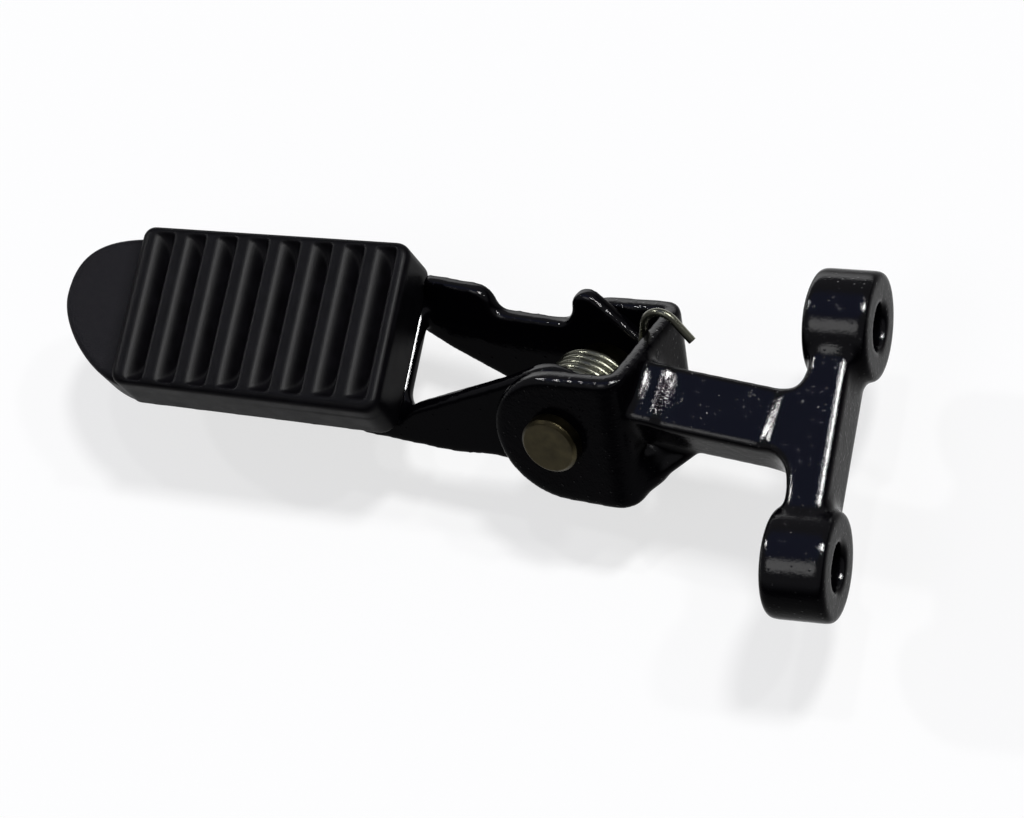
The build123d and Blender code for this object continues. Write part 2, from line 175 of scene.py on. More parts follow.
def layered_solid(name, outlines):
    """A closed solid through stacked outlines that all have the same number of points."""
    count = len(outlines[0])
    verts = [point for outline in outlines for point in outline]
    faces = []
    for level in range(len(outlines) - 1):
        low = level * count
        high = low + count
        for i in range(count):
            j = (i + 1) % count
            faces.append((low + i, low + j, high + j, high + i))
    faces.append(tuple(reversed(range(count))))
    top = (len(outlines) - 1) * count
    faces.append(tuple(range(top, top + count)))
    return mesh_object(name, verts, faces)


def upright_solid(name, outline, low, high):
    """A closed solid with upright walls over a flat outline."""
    return layered_solid(name, [[Vector((x, y, z)) for x, y in outline] for z in (low, high)])


def settle(piece):
    """Turns the evaluated object into plain mesh and drops its modifiers."""
    graph = bpy.context.evaluated_depsgraph_get()
    made = bpy.data.meshes.new_from_object(piece.evaluated_get(graph), depsgraph=graph)
    piece.modifiers.clear()
    if piece.type == "MESH":
        old = piece.data
        piece.data = made
        bpy.data.meshes.remove(old)
        return piece
    name = piece.name
    bpy.data.objects.remove(piece)
    return new_object(name, made)


def smooth_shade(piece, angle):
    """Smooth shading with edges kept where faces turn by more than the angle."""
    piece.data.shade_smooth()
    piece.data.set_sharp_from_angle(angle=math.radians(angle))


def dress(piece, material):
    piece.data.materials.clear()
    piece.data.materials.append(material)


def inset_loop(points, distance):
    """The outline moved inward by a distance, for a counter-clockwise outline."""
    moved = []
    count = len(points)
    for i, point in enumerate(points):
        before = (point - points[i - 1]).normalized()
        after = (points[(i + 1) % count] - point).normalized()
        side = Vector((-before.y - after.y, before.x + after.x)).normalized()
        spread = max(0.5, side.dot(Vector((-after.y, after.x))))
        moved.append(point + side * distance / spread)
    return moved


def bezier_points(start, start_pull, end_pull, end, steps):
    """Points along one cubic curve, without its last point."""
    points = []
    for i in range(steps):
        t = i / steps
        s = 1 - t
        points.append(start * s**3 + start_pull * 3 * s * s * t + end_pull * 3 * s * t * t + end * t**3)
    return points


def rounded_outline(corners, turn_step=7):
    """A closed outline in metres from corners given as (x, y, radius) in millimetres."""
    points = []
    count = len(corners)
    for i, (x, y, radius) in enumerate(corners):
        corner = Vector((x, y)) * MM
        before = (Vector(corners[i - 1][:2]) * MM - corner).normalized()
        after = (Vector(corners[(i + 1) % count][:2]) * MM - corner).normalized()
        turn = math.pi - before.angle(after)
        reach = radius * MM * math.tan(turn / 2)
        centre = corner + (before + after).normalized() * radius * MM / math.cos(turn / 2)
        start = corner + before * reach - centre
        spin = -1 if before.cross(after) > 0 else 1
        steps = max(1, math.ceil(math.degrees(turn) / turn_step))
        for k in range(steps + 1):
            angle = spin * turn * k / steps
            cos, sin = math.cos(angle), math.sin(angle)
            points.append(centre + Vector((start.x * cos - start.y * sin, start.x * sin + start.y * cos)))
    return points


def round_bar(name, start, end, radius, sides=40):
    """A closed round bar from one point to another."""
    along = (end - start).normalized()
    side = along.orthogonal().normalized()
    other = along.cross(side)
    rings = []
    for point in (start, end):
        rings.append([
            point + (side * math.cos(2 * math.pi * i / sides) + other * math.sin(2 * math.pi * i / sides)) * radius
            for i in range(sides)])
    return layered_solid(name, rings)


def joined(name, pieces):
    """All the pieces' shells in one new object; the pieces are removed."""
    shells = bmesh.new()
    for piece in pieces:
        shells.from_mesh(piece.data)
        bpy.data.objects.remove(piece)
    mesh = bpy.data.meshes.new(name)
    shells.to_mesh(mesh)
    shells.free()
    return new_object(name, mesh)


def cut_away(piece, cutter, many_shells):
    """Cuts the cutter out of the piece and removes it."""
    cut = piece.modifiers.new("cut", "BOOLEAN")
    cut.operation = "DIFFERENCE"
    cut.solver = "EXACT"
    cut.use_self = many_shells
    cut.object = cutter
    settle(piece)
    bpy.data.objects.remove(cutter)


def even_skin(piece, cell):
    """Turns overlapping shells into one even skin."""
    skin = piece.modifiers.new("skin", "REMESH")
    skin.mode = "VOXEL"
    skin.voxel_size = cell
    settle(piece)


# Geometry node trees


class TreeBuilder:
    """Short calls for adding linked nodes to one tree."""

    def __init__(self, tree):
        self.tree = tree

    def add(self, kind, values=None, **settings):
        node = self.tree.nodes.new(kind)
        for name, value in settings.items():
            setattr(node, name, value)
        for socket, value in (values or {}).items():
            if isinstance(value, bpy.types.NodeSocket):
                self.link(value, node.inputs[socket])
            else:
                node.inputs[socket].default_value = value
        return node

    def link(self, source, target):
        self.tree.links.new(source, target)

    def number(self, operation, first, second=0.0):
        """One step of arithmetic on numbers."""
        return self.add("ShaderNodeMath", {0: first, 1: second}, operation=operation).outputs[0]

    def vector(self, operation, first, second):
        """One step of arithmetic on vectors."""
        node = self.add("ShaderNodeVectorMath", {0: first, 1: second}, operation=operation)
        return node.outputs["Value" if operation == "DOT_PRODUCT" else "Vector"]

    def share(self, value, start, stop, full=1.0, kind="SMOOTHSTEP"):
        """Runs from 0 where the value is at the start to the full amount at the stop."""
        return self.add("ShaderNodeMapRange", {
            "Value": value, "From Min": start, "From Max": stop, "To Max": full}, interpolation_type=kind).outputs[0]

    def part_of(self, vector, axis):
        return self.add("ShaderNodeSeparateXYZ", {"Vector": vector}).outputs[axis]

    def end_group(self, **results):
        done = self.add("NodeGroupOutput")
        for name, source in results.items():
            self.link(source, done.inputs[name])

    def end_geometry(self, geometry, material):
        """Realizes what was instanced, sets the material and ends the tree."""
        real = self.add("GeometryNodeRealizeInstances", {"Geometry": geometry})
        painted = self.add("GeometryNodeSetMaterial", {"Geometry": real.outputs["Geometry"], "Material": material})
        self.end_group(Geometry=painted.outputs["Geometry"])


def geometry_tree(name, inputs):
    """A new geometry tree with the named inputs, its builder and its group inputs."""
    tree = bpy.data.node_groups.new(name, "GeometryNodeTree")
    tree.interface.new_socket("Geometry", in_out="INPUT", socket_type="NodeSocketGeometry")
    for label, kind, value in inputs:
        tree.interface.new_socket(label, in_out="INPUT", socket_type=kind).default_value = value
    tree.interface.new_socket("Material", in_out="INPUT", socket_type="NodeSocketMaterial")
    tree.interface.new_socket("Geometry", in_out="OUTPUT", socket_type="NodeSocketGeometry")
    make = TreeBuilder(tree)
    return tree, make, make.add("NodeGroupInput").outputs


def run_tree(piece, tree, values):
    """Puts the tree on the piece with its inputs set, and settles the result."""
    modifier = piece.modifiers.new(tree.name, "NODES")
    modifier.node_group = tree
    for item in tree.interface.items_tree:
        if item.item_type == "SOCKET" and item.in_out == "INPUT" and item.name in values:
            modifier[item.identifier] = values[item.name]
    return settle(piece)


def row_tree():
    """Copies of the input piece along a straight row."""
    tree, make, given = geometry_tree("row_of_copies", (
        ("Count", "NodeSocketInt", 2),
        ("Step", "NodeSocketVector", (0.0, 0.0, 0.0)),
    ))
    row = make.add("GeometryNodeMeshLine", {"Count": given["Count"], "Offset": given["Step"]})
    copies = make.add("GeometryNodeInstanceOnPoints", {
        "Points": row.outputs["Mesh"], "Instance": given["Geometry"]})
    make.end_geometry(copies.outputs["Instances"], given["Material"])
    return tree


def wire_tree():
    """A round wire along the input curve."""
    tree, make, given = geometry_tree("wire_along_path", (
        ("Radius", "NodeSocketFloat", 0.001),
        ("Sides", "NodeSocketInt", 20),
    ))
    ring = make.add("GeometryNodeCurvePrimitiveCircle", {"Resolution": given["Sides"], "Radius": given["Radius"]})
    wire = make.add("GeometryNodeCurveToMesh", {
        "Curve": given["Geometry"], "Profile Curve": ring.outputs["Curve"], "Fill Caps": True})
    smooth = make.add("GeometryNodeSetShadeSmooth", {"Geometry": wire.outputs["Mesh"]})
    make.end_geometry(smooth.outputs["Geometry"], given["Material"])
    return tree


def soften_tree():
    """Eases a skin's edges and fills its inner corners with the round blends that a mould leaves."""
    tree, make, given = geometry_tree("soften_skin", (
        ("Ease Steps", "NodeSocketInt", 4),
        ("Fill Steps", "NodeSocketInt", 0),
        ("Fill Centre", "NodeSocketVector", (0.0, 0.0, 0.0)),
        ("Fill Direction", "NodeSocketVector", (1.0, 0.0, 0.0)),
        ("Fill Reach", "NodeSocketFloat", 0.01),
        ("Fill Fade", "NodeSocketFloat", 0.002),
    ))
    place = make.add("GeometryNodeInputPosition").outputs["Position"]
    normal = make.add("GeometryNodeInputNormal").outputs["Normal"]

    def blurred(steps):
        return make.add("GeometryNodeBlurAttribute", {
            0: place, "Iterations": given[steps]}, data_type="FLOAT_VECTOR").outputs[0]

    def placed(geometry, **move):
        return make.add("GeometryNodeSetPosition", {"Geometry": geometry, **move}).outputs["Geometry"]

    rise = make.vector("DOT_PRODUCT", make.vector("SUBTRACT", blurred("Fill Steps"), place), normal)
    away = make.vector("SUBTRACT", place, given["Fill Centre"])
    far = make.number("ABSOLUTE", make.vector("DOT_PRODUCT", away, given["Fill Direction"]))
    inside = make.share(make.number("SUBTRACT", given["Fill Reach"], far), 0.0, given["Fill Fade"])
    amount = make.number("MULTIPLY", make.number("MAXIMUM", rise, 0.0), inside)
    outward = make.add("ShaderNodeVectorMath", {0: normal, "Scale": amount}, operation="SCALE")
    eased = placed(given["Geometry"], Position=blurred("Ease Steps"))
    filled = placed(eased, Offset=outward.outputs["Vector"])
    settled = placed(filled, Position=blurred("Ease Steps"))
    smooth = make.add("GeometryNodeSetShadeSmooth", {"Geometry": settled})
    make.end_geometry(smooth.outputs["Geometry"], given["Material"])
    return tree


def waist_tree():
    """Draws a bar's top and underside toward height zero between two places along it, with soft shoulders."""
    tree, make, given = geometry_tree("stem_waist", (
        ("Direction", "NodeSocketVector", (1.0, 0.0, 0.0)),
        ("Start", "NodeSocketFloat", 0.019),
        ("End", "NodeSocketFloat", 0.047),
        ("Shoulder", "NodeSocketFloat", 0.002),
        ("Depth Share", "NodeSocketFloat", 0.1),
    ))
    place = make.add("GeometryNodeInputPosition").outputs["Position"]
    along = make.vector("DOT_PRODUCT", place, given["Direction"])
    rise = make.share(make.number("SUBTRACT", along, given["Start"]), 0.0, given["Shoulder"])
    fall = make.share(make.number("SUBTRACT", given["End"], along), 0.0, given["Shoulder"])
    depth = make.number("MULTIPLY", make.number("MULTIPLY", rise, fall), given["Depth Share"])
    drop = make.number("MULTIPLY", make.part_of(place, "Z"), depth)
    offset = make.add("ShaderNodeCombineXYZ", {"Z": make.number("MULTIPLY", drop, -1.0)})
    moved = make.add("GeometryNodeSetPosition", {
        "Geometry": given["Geometry"], "Offset": offset.outputs["Vector"]})
    make.end_geometry(moved.outputs["Geometry"], given["Material"])
    return tree


# Shader node groups


def shader_group(name, inputs, outputs):
    """A new shader group, its builder and its group inputs."""
    group = bpy.data.node_groups.new(name, "ShaderNodeTree")
    for label, kind, value in inputs:
        socket = group.interface.new_socket(label, in_out="INPUT", socket_type=kind)
        if value is not None:
            socket.default_value = value
    for label, kind in outputs:
        group.interface.new_socket(label, in_out="OUTPUT", socket_type=kind)
    make = TreeBuilder(group)
    return group, make, make.add("NodeGroupInput").outputs


def grain_group():
    """Fine surface grain over slow waves, for cast, painted and moulded skins."""
    group, make, given = shader_group("surface_grain", (
        ("Vector", "NodeSocketVector", None),
        ("Grain Scale", "NodeSocketFloat", 2000.0),
        ("Wave Scale", "NodeSocketFloat", 300.0),
        ("Wave Share", "NodeSocketFloat", 0.5),
    ), (("Height", "NodeSocketFloat"), ("Mask", "NodeSocketFloat")))

    def noise(scale, detail, roughness):
        return make.add("ShaderNodeTexNoise", {
            "Vector": given["Vector"], "Scale": given[scale], "Detail": detail, "Roughness": roughness}).outputs["Fac"]

    wave = noise("Wave Scale", 2.0, 0.5)
    height = make.add("ShaderNodeMix", {
        "Factor": given["Wave Share"], 2: noise("Grain Scale", 3.0, 0.55), 3: wave}, data_type="FLOAT")
    make.end_group(Height=height.outputs[0], Mask=wave)
    return group


def nib_group():
    """Scattered small nibs, as dust leaves in gloss paint."""
    group, make, given = shader_group("paint_nibs", (
        ("Vector", "NodeSocketVector", None),
        ("Nib Scale", "NodeSocketFloat", 900.0),
        ("Share", "NodeSocketFloat", 0.4),
    ), (("Height", "NodeSocketFloat"),))
    cells = make.add("ShaderNodeTexVoronoi", {"Vector": given["Vector"], "Scale": given["Nib Scale"]}, feature="F1")
    dome = make.share(cells.outputs["Distance"], 0.30, 0.0)
    pick = make.add("ShaderNodeSeparateColor", {"Color": cells.outputs["Color"]}).outputs[0]
    make.end_group(Height=make.number("MULTIPLY", dome, make.number("LESS_THAN", pick, given["Share"])))
    return group


def wear_group():
    """A mask that is high along edges and broken up by noise, with the normal of the eased edge."""
    group, make, given = shader_group("edge_wear", (
        ("Vector", "NodeSocketVector", None),
        ("Radius", "NodeSocketFloat", 0.0008),
        ("Break Up", "NodeSocketFloat", 700.0),
        ("Amount", "NodeSocketFloat", 1.0),
    ), (("Mask", "NodeSocketFloat"), ("Normal", "NodeSocketVector")))
    eased = make.add("ShaderNodeBevel", {"Radius": given["Radius"]}, samples=6).outputs["Normal"]
    turn = make.vector("DOT_PRODUCT", eased, make.add("ShaderNodeNewGeometry").outputs["Normal"])
    edge = make.share(turn, 0.995, 0.85, kind="LINEAR")
    noise = make.add("ShaderNodeTexNoise", {"Vector": given["Vector"], "Scale": given["Break Up"], "Detail": 2.0})
    broken = make.share(noise.outputs["Fac"], 0.42, 0.62, kind="LINEAR")
    mask = make.number("MULTIPLY", make.number("MULTIPLY", edge, broken), given["Amount"])
    make.end_group(Mask=mask, Normal=eased)
    return group


def painted_upward_sheen_group():
    """High on faces that look up, so that only they get a coat that mirrors the lamps: painted highlight on upward
    faces and painted shade on side and lower faces.
    """
    group, make, given = shader_group("painted_upward_sheen", (
        ("Start", "NodeSocketFloat", 0.66),
        ("Full", "NodeSocketFloat", 0.82),
        ("Amount", "NodeSocketFloat", 1.0),
    ), (("Weight", "NodeSocketFloat"),))
    height = make.part_of(make.add("ShaderNodeNewGeometry").outputs["Normal"], "Z")
    make.end_group(Weight=make.share(height, given["Start"], given["Full"], given["Amount"]))
    return group


# Materials


class Finish:
    """One material with the nodes that every finish of the part starts from."""

    def __init__(self, name, settings):
        self.material = bpy.data.materials.new(name)
        self.material.use_nodes = True
        self.make = TreeBuilder(self.material.node_tree)
        self.shader = self.material.node_tree.nodes["Principled BSDF"]
        for socket, value in settings.items():
            self.shader.inputs[socket].default_value = value
        self.place = self.make.add("ShaderNodeTexCoord").outputs["Object"]

    def group(self, name, maker, values):
        """Outputs of a shared group, which is made when it is first asked for."""
        tree = bpy.data.node_groups.get(name) or maker()
        return self.make.add("ShaderNodeGroup", values, node_tree=tree).outputs

    def grain(self, grain_scale, wave_scale, wave_share):
        return self.group("surface_grain", grain_group, {
            "Vector": self.place, "Grain Scale": grain_scale, "Wave Scale": wave_scale, "Wave Share": wave_share})

    def wear(self, radius, amount):
        return self.group("edge_wear", wear_group, {"Vector": self.place, "Radius": radius, "Amount": amount})

    def nibs(self, scale, share):
        return self.group("paint_nibs", nib_group, {"Vector": self.place, "Nib Scale": scale, "Share": share})["Height"]

    # Coat weight from the painted upward sheen: upward faces mirror the lamps, side and lower faces stay dark.
    def gloss(self, amount):
        self.feed("Coat Weight", self.group("painted_upward_sheen", painted_upward_sheen_group, {"Amount": amount})["Weight"])

    def bump(self, height, distance, normal=None):
        values = {"Height": height, "Strength": 1.0, "Distance": distance}
        if normal:
            values["Normal"] = normal
        bumped = self.make.add("ShaderNodeBump", values).outputs["Normal"]
        self.feed("Normal", bumped)
        self.feed("Coat Normal", bumped)
        return bumped

    def between(self, factor, low, high):
        """A colour between two, each a colour or a socket."""
        low, high = (end if isinstance(end, bpy.types.NodeSocket) else (*end, 1.0) for end in (low, high))
        return self.make.add("ShaderNodeMix", {"Factor": factor, 6: low, 7: high}, data_type="RGBA").outputs[2]

    def spread(self, value, low, high, start=0.3, stop=0.7):
        return self.make.add("ShaderNodeMapRange", {
            "Value": value, "From Min": start, "From Max": stop, "To Min": low, "To Max": high}).outputs[0]

    def feed(self, socket, source):
        self.make.link(source, self.shader.inputs[socket])


def gloss_paint(name, gloss, coat, grain, wear, roughness, skin, nibs, nib_height):
    """Gloss black paint with a grain, slightly rubbed edges and nibs that catch the light."""
    colour = Vector(bpy.context.scene.footpeg_finish.paint)
    finish = Finish(name, {"Specular IOR Level": 0.02, "Coat Roughness": coat})
    # Painted highlight and shade: the coat covers only faces that look up.
    finish.gloss(gloss)
    grain = finish.grain(*grain)
    edges = finish.wear(*wear)
    rubbed = colour * 4 + Vector((0.003,) * 3)
    finish.feed("Base Color", finish.between(edges["Mask"], colour, rubbed))
    finish.feed("Roughness", finish.spread(grain["Mask"], *roughness))
    peel = finish.bump(grain["Height"], skin, edges["Normal"])
    finish.bump(finish.nibs(*nibs), nib_height, peel)
    return finish.material


def cast_paint():
    """Paint over a cast skin, with more grain and nibs."""
    return gloss_paint(
        "gloss_black_on_casting", gloss=1.0, coat=0.07, grain=(1900.0, 420.0, 0.55), wear=(0.0010, 0.12),
        roughness=(0.06, 0.12), skin=0.00009, nibs=(950.0, 0.34), nib_height=0.00011)


def plate_paint():
    """Paint over steel plate, with a little orange peel."""
    return gloss_paint(
        "gloss_black_on_steel", gloss=0.9, coat=0.06, grain=(900.0, 180.0, 0.7), wear=(0.0007, 0.15),
        roughness=(0.05, 0.10), skin=0.00005, nibs=(600.0, 0.15), nib_height=0.00003)


def moulded_rubber():
    """Black rubber with a fine moulded grain, rougher on the smooth tongue, whose colour is painted lighter to stand in
    for the light it catches.
    """
    colour = Vector(bpy.context.scene.footpeg_finish.rubber)
    finish = Finish("moulded_black_rubber", {"Specular IOR Level": 0.02, "Coat Roughness": 0.38})
    # Painted sheen: a light coat on upward faces only.
    finish.gloss(0.16)
    grain = finish.grain(3000.0, 240.0, 0.35)
    tongue = finish.spread(finish.make.part_of(finish.place, "X"), 0.0, 1.0, 0.1885, 0.1925)
    skin = finish.make.number("MULTIPLY", finish.spread(tongue, 0.22, 1.0, 0.0, 1.0), grain["Height"])
    clouded = finish.between(finish.spread(grain["Mask"], 0.0, 1.0), colour * 0.6, colour * 1.2)
    # Painted light: the tongue's colour is 2.6 times lighter than the block's, standing in for the light its top
    # catches.
    finish.feed("Base Color", finish.between(tongue, clouded, colour * 2.6))
    finish.feed("Roughness", finish.spread(grain["Mask"], 0.34, 0.42))
    finish.bump(skin, 0.00022)
    return finish.material


def zinc(name, colour, rough_low, rough_high):
    """Zinc plating with faint staining."""
    finish = Finish(name, {"Metallic": 1.0})
    grain = finish.grain(1500.0, 380.0, 0.5)
    edges = finish.wear(0.0005, 0.8)
    stained = finish.between(finish.spread(grain["Mask"], 0.0, 1.0), colour, colour * 0.72)
    finish.feed("Base Color", finish.between(edges["Mask"], stained, colour * 1.9))
    finish.feed("Roughness", finish.spread(grain["Mask"], rough_low, rough_high))
    finish.bump(grain["Height"], 0.00001, edges["Normal"])
    return finish.material


def pale_floor():
    """Pale floor that camera and mirrored rays see partly as even white, so that only a light shadow stays."""
    studio = bpy.context.scene.footpeg_studio
    colour = Vector(studio.floor_colour)
    finish = Finish("pale_floor", {"Roughness": 0.9, "Specular IOR Level": 0.0})
    grain = finish.grain(90.0, 9.0, 0.6)
    finish.feed("Base Color", finish.between(grain["Mask"], colour, colour * 0.995))
    make = finish.make
    rays = make.add("ShaderNodeLightPath").outputs
    seen = make.number("ADD", rays["Is Camera Ray"], rays["Is Glossy Ray"])
    seen = make.number("MINIMUM", make.number("ADD", seen, rays["Is Transmission Ray"]), 1.0)
    white = make.add("ShaderNodeEmission", {"Strength": 1.0})
    both = make.add("ShaderNodeMixShader", {
        0: make.number("MULTIPLY", seen, studio.floor_white), 1: finish.shader.outputs[0], 2: white.outputs[0]})
    make.link(both.outputs[0], finish.material.node_tree.nodes["Material Output"].inputs["Surface"])
    return finish.material


# Pieces


PAD_CORNER_R = 4.0 * MM
PAD_BLOCK_LENGTH = 71.0 * MM


def corner_points(start, corner, end):
    """Points round an outline's corner, without its last point."""
    return bezier_points(start, start.lerp(corner, 0.56), end.lerp(corner, 0.56), end, 8)


def side_points(start, end):
    """Points along an outline's straight side, without its last point."""
    return bezier_points(start, start.lerp(end, 0.3), start.lerp(end, 0.7), end, 12)


def pad_outline_points(low, high):
    """Outline of the raised block: straight sides, rounded inner corners and a nicked outer end."""
    outer_r = 3.0 * MM
    shoulder = low.x + PAD_BLOCK_LENGTH
    front_inner = high.y
    front_outer = high.y - 2.7 * MM
    corners = (
        (Vector((low.x, low.y)), PAD_CORNER_R),
        (Vector((shoulder, low.y)), outer_r),
        (Vector((shoulder, front_outer)), outer_r),
        (Vector((low.x, front_inner)), PAD_CORNER_R),
    )
    points = []
    for i, (corner, radius) in enumerate(corners):
        before = (corners[i - 1][0] - corner).normalized()
        after = (corners[(i + 1) % 4][0] - corner).normalized()
        start = corner + before * radius
        end = corner + after * radius
        points += corner_points(start, corner, end)
        points.append(end)
    return points


def tongue_outline_points(low, high):
    """Outline of the whole pad's base, with the round tongue beyond the block."""
    shoulder_x = low.x + PAD_BLOCK_LENGTH
    tip = Vector((high.x, low.y + 18.1 * MM))
    front_end = Vector((shoulder_x - 4.0 * MM, high.y - 2.7 * MM))
    back_start = Vector((shoulder_x - 3.0 * MM, low.y + 1.8 * MM))
    back_inner = Vector((low.x, low.y))
    front_inner = Vector((low.x, high.y))
    reach = high.x - shoulder_x
    points = []
    end = back_inner + Vector((PAD_CORNER_R, 0.0))
    points += corner_points(back_inner + Vector((0.0, PAD_CORNER_R)), back_inner, end)
    points += side_points(end, back_start)
    points += bezier_points(
        back_start, back_start + Vector((reach * 0.95, 0.2 * MM)),
        tip - Vector((0.0, 9.5 * MM)), tip, 30)
    points += bezier_points(
        tip, tip + Vector((0.0, 8.0 * MM)),
        front_end + Vector((reach * 0.62, -1.2 * MM)), front_end, 30)
    last = front_inner + Vector((PAD_CORNER_R, 0.0))
    points += side_points(front_end, last)
    down = front_inner - Vector((0.0, PAD_CORNER_R))
    points += corner_points(last, front_inner, down)
    points.append(down)
    return points


def stacked(points, levels):
    """Outlines at (height, inset) levels."""
    return [[Vector((p.x, p.y, z)) for p in inset_loop(points, inset)] for z, inset in levels]


def rounded_levels(bottom, top, bottom_r, top_r, steps=5):
    """Heights and insets of a wall with rounded bottom and top edges."""
    turns = [math.pi / 2 * i / steps for i in range(steps + 1)]
    lower = [(bottom + bottom_r * (1 - math.cos(turn)), bottom_r * (1 - math.sin(turn))) for turn in turns]
    upper = [(top - top_r * (1 - math.sin(turn)), top_r * (1 - math.cos(turn))) for turn in turns]
    return lower + upper


def groove_height(across, along, sizes, crest, half_span):
    """Height of one groove's surface: steep wall, round root, long slope, soft brow, ends rising to the crest."""
    width = sizes.rib_pitch - sizes.rib_land
    depth = sizes.groove_depth
    share = across / width
    root = 0.17
    level_span = 0.60
    end_power = 2.2
    brow_softness = 0.12
    if share < root:
        fall = math.sqrt(max(0.0, 1 - ((root - share) / root) ** 2))
        drop = depth * fall
    else:
        climb = (share - root) / (1 - root)
        drop = depth * (1 - climb * (2 - climb))
    reach = abs(along) / half_span
    limit = depth * max(0.0, 1 - max(0.0, (reach - level_span) / (1 - level_span)) ** end_power)
    lesser = min(drop, limit)
    return crest - max(0.0, lesser - brow_softness * lesser * (lesser / max(drop, limit, 1e-9)))


def groove_cutter(sizes, low, high):
    """The first groove as a closed cutter, with its floor shaped by groove_height."""
    crest = high.z
    lift = 1.5 * MM
    width = sizes.rib_pitch - sizes.rib_land
    foot = low.x + 70.4 * MM - sizes.rib_pitch + 0.2 * MM
    back = low.y + 1.6 * MM
    front = high.y - 3.1 * MM
    middle = (back + front) / 2
    half_span = (front - back) / 2
    columns = 22
    rows = 64
    lower = []
    upper = []
    for j in range(rows + 1):
        along = -half_span + 2 * half_span * j / rows
        for i in range(columns + 1):
            across = width * i / columns
            z = groove_height(across, along, sizes, crest, half_span)
            if i == columns or j in (0, rows):
                z = crest + 0.05 * MM
            lower.append(Vector((foot + across, middle + along, z)))
            upper.append(Vector((foot + across, middle + along, crest + lift)))
    base = len(lower)
    step = columns + 1
    faces = []
    for j in range(rows):
        for i in range(columns):
            a = j * step + i
            faces.append((a, a + 1, a + step + 1, a + step))
            faces.append((base + a, base + a + step, base + a + step + 1, base + a + 1))
    for i in range(columns):
        faces.append((i, base + i, base + i + 1, i + 1))
        a = rows * step + i
        faces.append((a, a + 1, base + a + 1, base + a))
    for j in range(rows):
        a = j * step
        faces.append((a, a + step, base + a + step, base + a))
        b = a + columns
        faces.append((b, base + b, base + b + step, b + step))
    return mesh_object("pad_grooves", lower + upper, faces)


class FOOTPEG_OT_rubber_pad(bpy.types.Operator):
    """Moulded rubber pad with saw-tooth ribs and a smooth round tongue"""

    bl_idname = "footpeg.rubber_pad"
    bl_label = "Rubber pad"

    def execute(self, context):
        sizes = context.scene.footpeg_pad
        low, high = (Vector(corner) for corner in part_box("rubber_pad"))
        rubber = moulded_rubber()
        block_levels = rounded_levels(low.z, high.z, 0.5 * MM, 1.9 * MM)
        block = layered_solid("rubber_pad_skin", stacked(pad_outline_points(low, high), block_levels))
        tongue_levels = rounded_levels(low.z, low.z + sizes.tongue_height, 0.5 * MM, 1.6 * MM)
        tongue = layered_solid("pad_tongue", stacked(tongue_outline_points(low, high), tongue_levels))
        grooves = run_tree(groove_cutter(sizes, low, high), row_tree(), {
            "Count": sizes.rib_count, "Step": (-sizes.rib_pitch, 0.0, 0.0), "Material": rubber})
        cut_away(block, grooves, many_shells=False)
        block = joined("rubber_pad_skin", [block, tongue])
        even_skin(block, sizes.voxel)
        soften = block.modifiers.new("soften", "SMOOTH")
        soften.factor = 0.5
        soften.iterations = 3
        settle(block)
        block.data.shade_smooth()
        dress(block, rubber)
        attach(block, "peg")
        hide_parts("rubber_pad")
        return {"FINISHED"}


def bend(start, ahead, side, radius, turn, steps, run):
    """Points round a bend in a wire, and the end of the straight run after it."""
    points = []
    for i in range(steps + 1):
        a = turn * i / steps
        points.append(start + ahead * radius * math.sin(a) + side * radius * (1 - math.cos(a)))
    points.append(points[-1] + (ahead * math.cos(turn) + side * math.sin(turn)) * run)
    return points


def spring_path(sizes):
    """Points of the spring wire: end in the front cheek, coil, leg over the web, hook."""
    web_front = 14.3 * MM
    web_top = 18.5 * MM
    leg_gap = 0.2 * MM
    coil_start = 8.6 * MM
    leg_length = 21.6 * MM
    hook_r = 4.5 * MM
    hook_turn = math.radians(128)
    hook_tail = 6.5 * MM
    tail_bend_r = 1.6 * MM
    tail_run = 3.1 * MM
    leg_rest = web_front - sizes.wire_d / 2 - leg_gap
    lean = math.atan2(web_top, -leg_rest)
    angle = lean + math.acos(sizes.coil_r / math.hypot(web_top, leg_rest))
    side = peg_dir * math.cos(angle) + up_dir * math.sin(angle)
    other = (-pin_dir).cross(side)
    start = pivot_point + pin_dir * coil_start
    steps = 72

    def on_coil(turns):
        a = -2 * math.pi * turns
        flat = side * math.cos(a) + other * math.sin(a)
        return start + flat * sizes.coil_r - pin_dir * sizes.coil_pitch * turns

    coil = [on_coil(i / steps) for i in range(sizes.coil_turns * steps + 1)]
    tail_dir = (coil[0] - coil[1]).normalized()
    tail_up = (pin_dir - tail_dir * tail_dir.dot(pin_dir)).normalized()
    rise = math.acos(tail_dir.dot(pin_dir))
    tail = bend(coil[0], tail_dir, tail_up, tail_bend_r, rise, 10, tail_run)[1:]
    leg_dir = (coil[-1] - coil[-2]).normalized()
    leg_normal = (-pin_dir - leg_dir * (-pin_dir).dot(leg_dir)).normalized()
    leg_side = leg_normal.cross(leg_dir)
    leg_end = coil[-1] + leg_dir * leg_length
    hook = bend(leg_end, leg_dir, leg_side, hook_r, hook_turn, 24, hook_tail)
    return list(reversed(tail)) + coil + hook


def wire_curve(name, points):
    curve = bpy.data.curves.new(name, "CURVE")
    curve.dimensions = "3D"
    line = curve.splines.new("POLY")
    line.points.add(len(points) - 1)
    for place, point in zip(line.points, points):
        place.co = (*point, 1.0)
    return new_object(name, curve)


